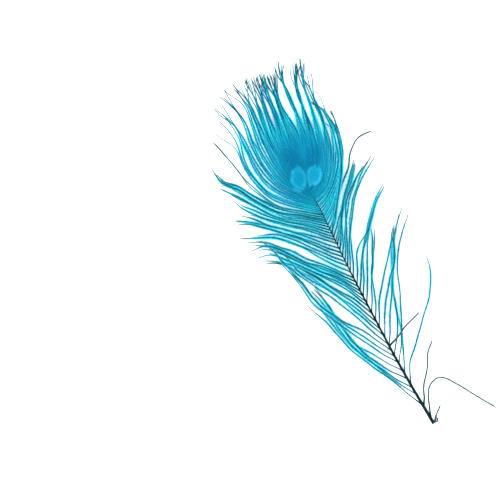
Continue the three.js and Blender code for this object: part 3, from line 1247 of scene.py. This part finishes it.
EYE_MARKS = (
    # The ground of the eye, the blue over it, and the deeper ground round the two lobes.
    Oval((2.0, 209.0), (22.0, 27.0), 0.35, (0.0, 0.33, 0.51), strength=0.5),
    Oval((7.5, 215.5), (16.5, 14.5), 0.45, (0.0, 0.29, 0.52), strength=0.65),
    Oval((1.8, 200.0), (13.0, 12.0), 0.16, (0.0, 0.22, 0.38), strength=0.6),
    Oval((-5.0, 199.5), (14.5, 17.0), 0.30, (0.0, 0.20, 0.40), strength=0.45),
    # The pale rims of the lobes, their insides, and the line between them.
    Oval((-3.5, 201.4), (5.6, 8.6), 0.16, (0.03, 0.60, 0.80), turn=-20.0, strength=0.85),
    Oval((7.6, 198.4), (5.4, 7.3), 0.16, (0.04, 0.64, 0.84), turn=-36.0, strength=0.85),
    Oval((-2.9, 202.0), (4.1, 6.9), 0.34, (0.002, 0.38, 0.60), turn=-20.0, strength=0.95),
    Oval((7.9, 199.0), (3.9, 5.7), 0.36, (0.004, 0.40, 0.61), turn=-36.0, strength=0.95),
    Oval((1.5, 198.0), (0.9, 7.0), 0.60, (0.0, 0.26, 0.44), strength=0.45),
    # The darkest spots of the heart, and the blue streak up into the crown.
    Oval((-1.6, 218.0), (6.5, 6.0), 0.60, (0.0, 0.16, 0.38), strength=0.5),
    Oval((14.3, 211.0), (5.5, 6.0), 0.60, (0.0, 0.17, 0.39), strength=0.5),
    Oval((0.8, 256.0), (3.4, 15.0), 0.70, (0.0, 0.20, 0.42), turn=-10.0, strength=0.6),
)

# Each fringe colour below is a painted highlight that the barbules pale to towards their tips.
DYES = {
    Part.VANE: BarbDye(
        "turquoise barb dye and painted highlight",
        root=(0.0, 0.022, 0.034),
        body=(0.0, 0.46, 0.60),
        deep=(0.0, 0.25, 0.37),
        fringe=(0.15, 0.93, 1.0),
        tip=(0.055, 0.11, 0.125),
        ramus=(0.0, 0.13, 0.18),
    ),
    Part.EYE: BarbDye(
        "eye barb dye and painted highlight",
        root=(0.0, 0.05, 0.085),
        body=(0.0, 0.56, 0.69),
        deep=(0.0, 0.30, 0.47),
        fringe=(0.09, 0.91, 1.0),
        tip=(0.04, 0.12, 0.15),
        ramus=(0.0, 0.14, 0.21),
        marks=EYE_MARKS,
    ),
    Part.WORN: BarbDye(
        "worn barb dye and painted highlight",
        root=(0.0, 0.030, 0.045),
        body=(0.02, 0.16, 0.20),
        deep=(0.01, 0.09, 0.12),
        fringe=(0.08, 0.33, 0.38),
        tip=(0.07, 0.08, 0.08),
        ramus=(0.05, 0.115, 0.125),
    ),
}


@dataclass(frozen=True)
class ShaftHorn:
    """The dark dyed horn of the shaft."""

    name: str = "dark dyed horn"
    dark: Colour = (0.0, 0.003, 0.004)
    light: Colour = (0.0, 0.011, 0.015)
    cut: Colour = (0.10, 0.30, 0.36)
    roughness: Pair = (0.5, 0.55)
    gloss: float = 0.03
    grain: float = 2.5
    grain_stretch: float = 0.08  # scale of the grain along the shaft
    cut_length: float = 2.0
    cut_strength: float = 0.6
    faded: Colour = (0.0, 0.11, 0.17)
    faded_from: float = 0.86  # share of the shaft's length

    def material(self, effects: Effects) -> bpy.types.Material:
        """Build the material.

        Args:
            effects: the shared groups.

        Returns:
            The material.
        """
        material, wiring, principled, output = new_material(self.name)
        place = wiring.add("ShaderNodeTexCoord").outputs["Object"]
        inputs = {"Vector": place, "Scale": (1.0, self.grain_stretch, 1.0)}
        along = wiring.add("ShaderNodeMapping", inputs).outputs[0]
        drift = wiring.group(effects.drift, {"Place": along, "Cloud Size": self.grain * MM})
        colour = wiring.mix(drift, self.dark, self.light)
        end = float(effects.place.metres(np.zeros(3))[1])
        height = wiring.add("ShaderNodeSeparateXYZ", {0: place}).outputs["Y"]
        cut = wiring.ramp(height, end, end + self.cut_length * MM, self.cut_strength, 0.0)
        colour = wiring.mix(cut, colour, self.cut)
        tip = end + SHAFT_LINE.length * MM
        start = end + SHAFT_LINE.length * self.faded_from * MM
        colour = wiring.mix(wiring.ramp(height, start, tip), colour, self.faded)
        wiring.feed(principled.inputs["Base Color"], colour)
        wiring.feed(principled.inputs["Roughness"], wiring.ramp(drift, 0.0, 1.0, *self.roughness))
        principled.inputs["Specular IOR Level"].default_value = self.gloss
        wiring.feed(output.inputs["Surface"], principled.outputs[0])
        return material


# --------------------------------------------------------------------------------------------------------
# The feather's pieces
# --------------------------------------------------------------------------------------------------------


def seat(piece: bpy.types.Object, node: str) -> None:
    """Show a finished piece in place of its solid and let it ride with the feather.

    Args:
        piece: the piece.
        node: the solid's name in the frame.
    """
    if piece.name not in bpy.context.scene.collection.objects:
        bpy.context.scene.collection.objects.link(piece)
    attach(piece, "root")
    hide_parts(node)


@dataclass
class Shaft:
    """The shaft, a tapering horn with a ridged back, a groove underneath and a slanting cut quill."""

    line: ShaftLine
    sides: int = 20
    step: float = 1.1
    groove: float = 0.34  # depth, in radii
    groove_width: float = 0.42  # radians
    groove_grows: Pair = (0.10, 0.22)  # shares of the length between which it deepens
    squareness: float = 0.10
    cut_slant: float = 0.99
    bore: float = 0.45  # radius of the quill's hollow, in radii
    bore_depth: float = 6.0
    bore_narrows: float = 0.5

    def section(self, share: float) -> np.ndarray:
        """Draw the section across the shaft.

        Args:
            share: the share of the length.

        Returns:
            The section's points in radii, round from the underside.
        """
        turn = np.arange(self.sides) * 2.0 * math.pi / self.sides
        round_out = 1.0 + self.squareness * np.sin(2.0 * turn) ** 2
        below = np.minimum(turn, 2.0 * math.pi - turn)
        grooved = float(smooth(share, *self.groove_grows))
        radius = round_out * (1.0 - self.groove * grooved * np.exp(-((below / self.groove_width) ** 2)))
        section = np.column_stack([np.sin(turn), -np.cos(turn)]) * radius[:, None]
        section[:, 1] = np.maximum(section[:, 1], -self.line.flat_depth)
        return section / (1.0 + self.squareness)

    def mesh(self, place: Placement) -> bpy.types.Mesh:
        """Build the closed mesh.

        Args:
            place: where the feather lies in the frame.

        Returns:
            The mesh, in the frame.
        """
        steps = math.ceil(self.line.length / self.step)
        share = np.linspace(0.0, 1.0, steps + 1)
        rings = self.line.rings(share, self.section)
        depth = self.line.flat_depth
        rings[:, :, 2] -= (self.line.radius(share) * (depth - depth / (1.0 + self.squareness)))[:, None]
        first = rings[0]
        slope = (first[:, 2] - first[:, 2].min()) / np.ptp(first[:, 2])
        first[:, 1] += self.cut_slant * slope
        middle = first.mean(axis=0)
        inner = middle + (first - middle) * self.bore
        deep = inner + np.array([0.0, self.bore_depth, 0.0])
        deep = deep.mean(axis=0) + (deep - deep.mean(axis=0)) * self.bore_narrows
        run = np.concatenate([[deep], [inner], rings])
        count = self.sides
        faces = [tuple(range(count))]
        corners = [(corner, (corner + 1) % count) for corner in range(count)]
        for ring in range(0, (len(run) - 1) * count, count):
            faces += [(ring + a, ring + count + a, ring + count + b, ring + b) for a, b in corners]
        faces.append(tuple(reversed(range((len(run) - 1) * count, len(run) * count))))
        mesh = bpy.data.meshes.new("feather_shaft")
        mesh.from_pydata(place.metres(run.reshape(-1, 3)).tolist(), [], faces)
        mesh.polygons.foreach_set("use_smooth", [len(face) == 4 for face in faces])
        mesh.update()
        return mesh

    def build(self, place: Placement, horn: bpy.types.Material) -> bpy.types.Object:
        """Build the shaft and seat it in the frame.

        Args:
            place: where the feather lies in the frame.
            horn: the shaft's material.

        Returns:
            The piece.
        """
        piece = bpy.data.objects.new("feather_shaft", self.mesh(place))
        piece.data.materials.append(horn)
        seat(piece, "shaft")
        return piece


@dataclass
class Plumage:
    """Every lock of barbs."""

    line: ShaftLine
    herl: Herl = field(default_factory=Herl)

    def build(self, place: Placement, dyes: dict[Part, bpy.types.Material]) -> list[bpy.types.Object]:
        """Build the locks and seat them in the frame.

        Args:
            place: where the feather lies in the frame.
            dyes: the material of each part.

        Returns:
            The pieces, one a lock.
        """
        barbs = Vane(self.line, LOCKS, SEED).lay()
        tree = self.herl.tree()
        pieces = []
        for number, lock in enumerate(LOCKS):
            name = f"{lock.name}_herl"
            piece = self.herl.clothe(name, barbs[lock.name], tree, dyes[lock.part], SEED + number, place)
            seat(piece, lock.name)
            log.info("%s: %d barbs, %d faces", name, len(barbs[lock.name]), len(piece.data.polygons))
            pieces.append(piece)
        return pieces


# --------------------------------------------------------------------------------------------------------
# The studio
# --------------------------------------------------------------------------------------------------------


@dataclass
class Studio:
    """A white table in soft light, seen from straight above."""

    table_size: float = 6.0  # metres
    table_colour: Colour = (0.86, 0.87, 0.88)
    table_roughness: float = 0.9
    sky: float = 2.5
    sky_colour: Colour = (1.0, 1.0, 1.0)
    lamp_power: float = 22.0  # watts
    lamp_size: float = 1.4
    lamp_place: tuple[float, float, float] = (-0.5, 0.7, 1.5)
    view_middle: Pair = (-58.1, 172.8)  # where the camera hangs, in the feather's own millimetres
    view_turn: float = -28.0  # degrees: the view's upright, from the shaft
    view_width: float = 360.0  # millimetres of table
    lens: float = 95.0
    sensor: float = 36.0

    def build(self, place: Placement) -> None:
        """Set up the table, the light and the camera.

        Args:
            place: where the feather lies in the frame.
        """
        scene = bpy.context.scene
        scene.view_settings.view_transform = "Standard"
        self._table(scene)
        self._light(scene)
        self._camera(scene, place)

    def _table(self, scene: bpy.types.Scene) -> None:
        """Lay the table top.

        Args:
            scene: the scene to lay it in.
        """
        half = self.table_size / 2.0
        corners = [(-half, -half, 0.0), (half, -half, 0.0), (half, half, 0.0), (-half, half, 0.0)]
        mesh = bpy.data.meshes.new("table_top")
        mesh.from_pydata(corners, [], [(0, 1, 2, 3)])
        table = bpy.data.objects.new("table_top", mesh)
        material, wiring, principled, output = new_material("white table")
        principled.inputs["Base Color"].default_value = opaque(self.table_colour)
        principled.inputs["Roughness"].default_value = self.table_roughness
        wiring.feed(output.inputs["Surface"], principled.outputs[0])
        mesh.materials.append(material)
        scene.collection.objects.link(table)

    def _light(self, scene: bpy.types.Scene) -> None:
        """Hang a soft lamp in a white room.

        Args:
            scene: the scene to hang it in.
        """
        world = bpy.data.worlds.new("white room")
        world.use_nodes = True
        background = world.node_tree.nodes["Background"]
        background.inputs["Color"].default_value = opaque(self.sky_colour)
        background.inputs["Strength"].default_value = self.sky
        scene.world = world
        lamp = bpy.data.lights.new("softbox", "AREA")
        lamp.energy = self.lamp_power
        lamp.size = self.lamp_size
        holder = bpy.data.objects.new("softbox", lamp)
        holder.location = self.lamp_place
        x, y, z = self.lamp_place
        holder.rotation_euler = (math.atan2(math.hypot(x, y), z), 0.0, math.atan2(x, -y))
        scene.collection.objects.link(holder)

    def _camera(self, scene: bpy.types.Scene, place: Placement) -> None:
        """Hang the camera over the table.

        Args:
            scene: the scene that it is for.
            place: where the feather lies in the frame.
        """
        camera = bpy.data.cameras.new("overhead")
        camera.lens = self.lens
        camera.sensor_width = self.sensor
        holder = bpy.data.objects.new("overhead", camera)
        over = place.metres(np.array([*self.view_middle, 0.0]))
        over[2] = self.view_width * MM * self.lens / self.sensor
        holder.location = over
        holder.rotation_euler = (0.0, 0.0, math.radians(self.view_turn))
        scene.collection.objects.link(holder)
        scene.camera = holder


def main() -> None:
    """Build the feather and its studio, and log how many faces its pieces have."""
    logging.basicConfig(level=logging.INFO, format="%(name)s: %(message)s")
    place = Placement(SHAFT_LINE)
    effects = Effects(place)
    dyes = {part: dye.material(effects) for part, dye in DYES.items()}
    shaft = Shaft(SHAFT_LINE).build(place, ShaftHorn().material(effects))
    log.info("%s: %d faces", shaft.name, len(shaft.data.polygons))
    locks = Plumage(SHAFT_LINE).build(place, dyes)
    log.info("%d locks, %d faces", len(locks), sum(len(lock.data.polygons) for lock in locks))
    Studio().build(place)


if __name__ == "__main__":
    main()
